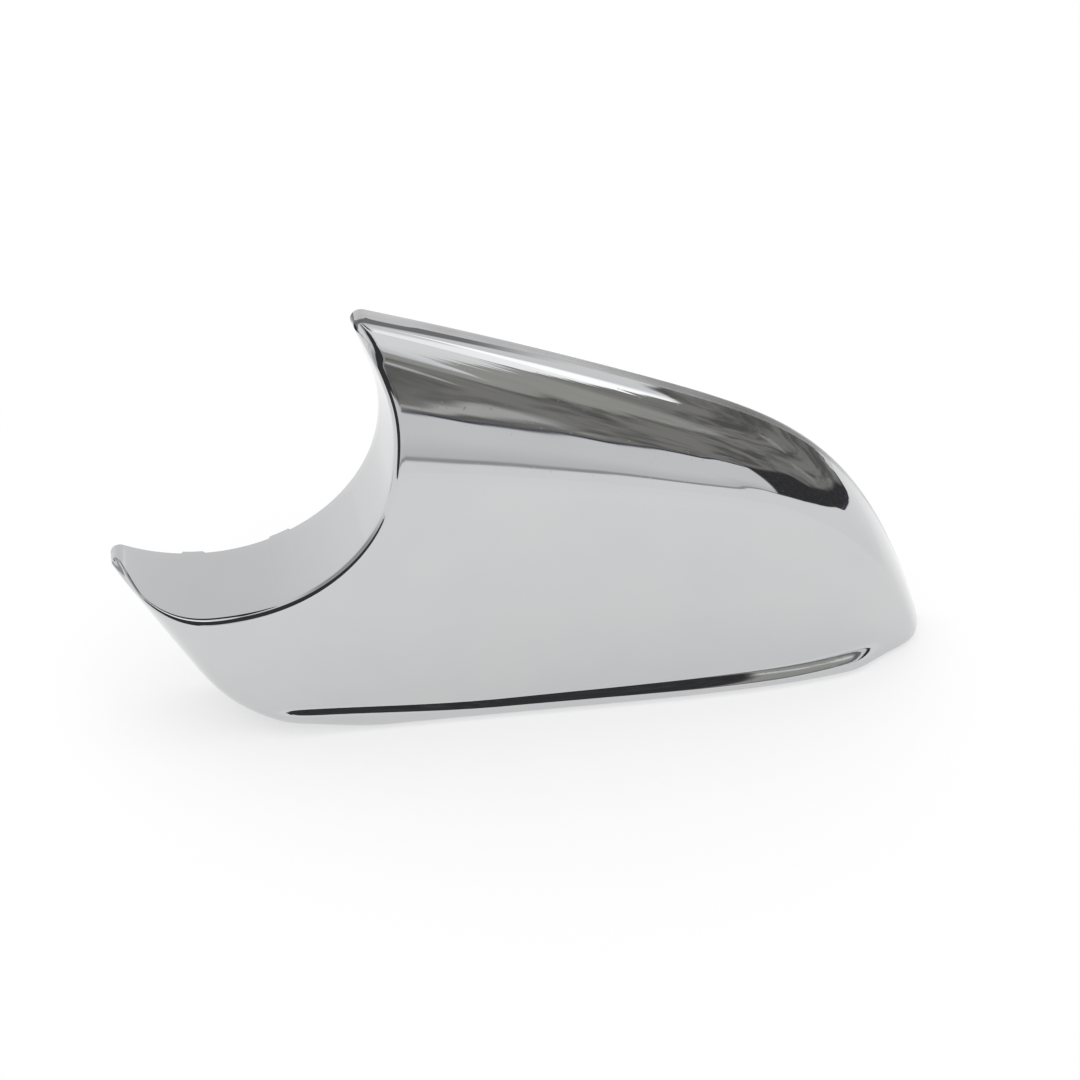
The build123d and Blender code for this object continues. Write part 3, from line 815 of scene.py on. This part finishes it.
def buildSurround():
    w = SimpleNamespace(**surround)
    world = bpy.data.worlds.new("studio")
    bpy.context.scene.world = world
    world.use_nodes = True
    tree = world.node_tree
    tree.nodes.clear()
    way = tree.nodes.new("ShaderNodeTexCoord").outputs["Generated"]
    part = addNode(tree, "ShaderNodeSeparateXYZ", {0: way}).outputs
    turnTo = calc(tree, "DEGREES", calc(tree, "ARCTAN2", part[0], calc(tree, "MULTIPLY", part[1], -1.0)))
    height = calc(tree, "DEGREES", calc(tree, "ARCSINE", part[2]))
    sideways = calc(tree, "ABSOLUTE", turnTo)
    minus = lambda a, b: calc(tree, "SUBTRACT", a, b)
    both = lambda a, b: calc(tree, "MULTIPLY", a, b)
    fade = lambda value, limits: ramp(tree, value, *limits)
    drawn = lambda points: drawnLine(tree, turnTo, points)
    leaning = lambda start, much: minus(turnTo, both(minus(height, start), much))

    def window(value, a, b, soft):
        return both(ramp(tree, value, a - soft, a + soft), ramp(tree, value, b - soft, b + soft, 1.0, 0.0))

    def patch(a, b, low, high, soft):
        return both(window(turnTo, a, b, soft), window(height, low, high, soft))

    sway = minus(noise(tree, way, w.swayScale, 2.0), 0.5)
    grit = noise(tree, way, w.gritScale, 1.0)
    bandLow, bandMid, bandHigh = drawn(w.bandLow), drawn(w.bandMid), drawn(w.bandHigh)
    overLow = minus(height, bandLow)
    overHigh = calc(tree, "MULTIPLY_ADD", sway, w.swayBand, minus(height, bandHigh))
    overFloor = calc(tree, "MULTIPLY_ADD", sway, w.swayFloor, minus(height, drawn(w.floorLine)))
    soot = blend(tree, fade(grit, w.sootGrit), w.black, w.soot)
    # light room
    back = blend(tree, fade(height, w.backRise), w.pale, w.behind)
    room = blend(tree, fade(sideways, w.frontTurn), w.front, back)
    room = blend(tree, fade(height, w.aboveRise), room, w.above)
    room = blend(tree, patch(*w.sidePatch), room, w.side)
    room = blend(tree, both(window(overHigh, *w.overBand), window(turnTo, *w.overTurn)), room, w.above)
    room = blend(tree, both(window(overHigh, *w.brightBand), window(turnTo, *w.brightTurn)), room, w.bright)
    room = blend(tree, patch(*w.whitePatch), room, w.white)
    # dark strip across the ceiling and one lamp in it
    room = blend(tree, both(window(height, *w.ceilingStrip), fade(sideways, w.ceilingTurn)), room, w.black)
    room = blend(tree, patch(*w.ceilingLamp), room, w.white)
    # edge of the floor, seen ahead
    room = blend(tree, fade(overFloor, w.floorShade), room, w.line)
    room = blend(tree, fade(overFloor, w.floorPale), room, w.pale)
    room = blend(tree, both(window(overFloor, *w.floorEdge), window(turnTo, *w.floorTurn)), room, w.line)
    # dark band with its streaks
    off = minus(height, bandMid)
    upper = calc(tree, "DIVIDE", off, calc(tree, "MAXIMUM", minus(bandHigh, bandMid), 1.0))
    lower = calc(tree, "DIVIDE", off, calc(tree, "MAXIMUM", minus(bandMid, bandLow), 1.0))
    # -1 to 1 over the band
    across = calc(tree, "ADD", calc(tree, "MAXIMUM", upper, 0.0), calc(tree, "MINIMUM", lower, 0.0))
    along, over = w.streakRun
    run = addNode(tree, "ShaderNodeCombineXYZ", {0: both(turnTo, along), 1: both(across, over)}).outputs[0]
    streak = noise(tree, run, 1.0, 4.0, Roughness=w.streakRough, Distortion=w.streakBend)
    jag = calc(tree, "MULTIPLY_ADD", minus(streak, 0.5), w.jag, across)
    shade = blend(tree, fade(streak, w.streakTone), w.deep, w.shade)
    shade = blend(tree, both(fade(jag, w.wornJag), fade(turnTo, w.wornTurn)), shade, w.worn)
    shade = blend(tree, both(window(jag, *w.paleJag), fade(turnTo, w.paleTurn)), shade, w.paleStreak)
    shade = blend(tree, fade(overLow, w.edgeRise), shade, w.edge)
    band = both(fade(overLow, w.lowRise), fade(overHigh, w.highFall))
    room = blend(tree, both(band, window(turnTo, *w.bandTurn)), room, shade)
    # black panel that stands on the floor's edge
    panel = both(fade(leaning(*w.panelLean), w.panelLeft), window(turnTo, *w.panelTurn))
    upright = both(fade(overFloor, w.panelFoot), fade(minus(height, drawn(w.panelTop)), w.panelFade))
    room = blend(tree, both(panel, upright), room, soot)
    # small pale things in the dark
    for limits, much, colour in w.paleThings:
        speckle = ramp(tree, grit, *w.speckle, w.speckleLeast * much, much)
        room = blend(tree, both(patch(*limits), speckle), room, surround[colour])
    # dark side of the room ahead and to the left
    dark = both(fade(leaning(*w.darkLean), w.darkRight), fade(height, w.darkTop))
    foot = ramp(tree, turnTo, *w.darkFoot, "LINEAR")
    dark = both(dark, fade(minus(height, foot), w.footRise))
    dark = both(dark, fade(turnTo, w.darkLeft))
    room = blend(tree, dark, room, soot)
    # the camera sees plain white behind the cover
    seen = tree.nodes.new("ShaderNodeLightPath").outputs["Is Camera Ray"]
    room = blend(tree, seen, room, (1, 1, 1, 1))
    ground = addNode(tree, "ShaderNodeBackground", {"Color": room, "Strength": 1.0})
    tree.links.new(ground.outputs[0], tree.nodes.new("ShaderNodeOutputWorld").inputs["Surface"])
    print("surround ready")


buildSurround()


# floor, light and camera
studio = {
    "floorFront": -0.235, "floorBack": 0.42, "floorLeft": -0.42, "floorRight": 0.175, "floorGap": 0.0001,
    "floorColour": (0.42, 0.42, 0.42, 1), "floorLift": (0.58, 0.58, 0.58, 1), "floorFade": (0.66, 1.0),
    "floorRough": 0.9,
    "azimuth": -8.0, "elevation": 42.0, "distance": 0.9, "lens": 110.1, "sensor": 36.0,
    "lookAt": (0.0, 0.0, 43.0),  # drawing, millimetres
    "lampAt": (0.0, -0.2, 1.2), "lampSize": 2.0, "lampPower": 13.0,
}


def buildStudio():
    st = SimpleNamespace(**studio)
    mesh = bpy.data.meshes.new("floor")
    z = cadLow.z - st.floorGap
    mesh.from_pydata([(st.floorLeft, st.floorFront, z), (st.floorRight, st.floorFront, z),
                      (st.floorRight, st.floorBack, z), (st.floorLeft, st.floorBack, z)], [], [(0, 1, 2, 3)])
    floor = bpy.data.objects.new("floor", mesh)
    bpy.context.scene.collection.objects.link(floor)
    made = bpy.data.materials.new("paleFloor")
    made.use_nodes = True
    tree = made.node_tree
    shader = tree.nodes["Principled BSDF"]
    where = tree.nodes.new("ShaderNodeTexCoord").outputs["Object"]
    scale = (1 / st.floorRight, 1 / st.floorFront, 0.0)
    where = addNode(tree, "ShaderNodeVectorMath", {0: where, 1: scale}, operation="MULTIPLY").outputs[0]
    away = addNode(tree, "ShaderNodeVectorMath", {0: where}, operation="LENGTH").outputs["Value"]
    fade = ramp(tree, away, *st.floorFade)  # plain white at its edges
    tree.links.new(blend(tree, fade, st.floorColour, (0, 0, 0, 1)), shader.inputs["Base Color"])
    tree.links.new(blend(tree, fade, st.floorLift, (1, 1, 1, 1)), shader.inputs["Emission Color"])
    shader.inputs["Roughness"].default_value = st.floorRough
    shader.inputs["Specular IOR Level"].default_value = 0.0
    shader.inputs["Emission Strength"].default_value = 1.0
    floor.data.materials.append(made)
    lamp = bpy.data.lights.new("overhead", "AREA")
    lamp.shape = "DISK"
    lamp.size = st.lampSize
    lamp.energy = st.lampPower
    above = bpy.data.objects.new("overhead", lamp)
    above.location = st.lampAt
    above.rotation_euler = (-Vector(st.lampAt)).to_track_quat("-Z", "Y").to_euler()
    above.visible_glossy = False  # lights the floor, the chrome shows the room
    bpy.context.scene.collection.objects.link(above)
    cam = bpy.data.cameras.new("camera")
    cam.lens = st.lens
    cam.sensor_width = st.sensor
    holder = bpy.data.objects.new("camera", cam)
    bpy.context.scene.collection.objects.link(holder)
    a, e = math.radians(st.azimuth), math.radians(st.elevation)
    back = Vector((math.sin(a) * math.cos(e), -math.cos(a) * math.cos(e), math.sin(e)))
    at = Vector(toFrame(st.lookAt[0], -st.lookAt[1], st.lookAt[2]))
    holder.location = at + back * st.distance
    holder.rotation_euler = (-back).to_track_quat("-Z", "Y").to_euler()
    bpy.context.scene.camera = holder
    bpy.context.scene.view_settings.view_transform = "Standard"
    print("studio ready")


buildStudio()
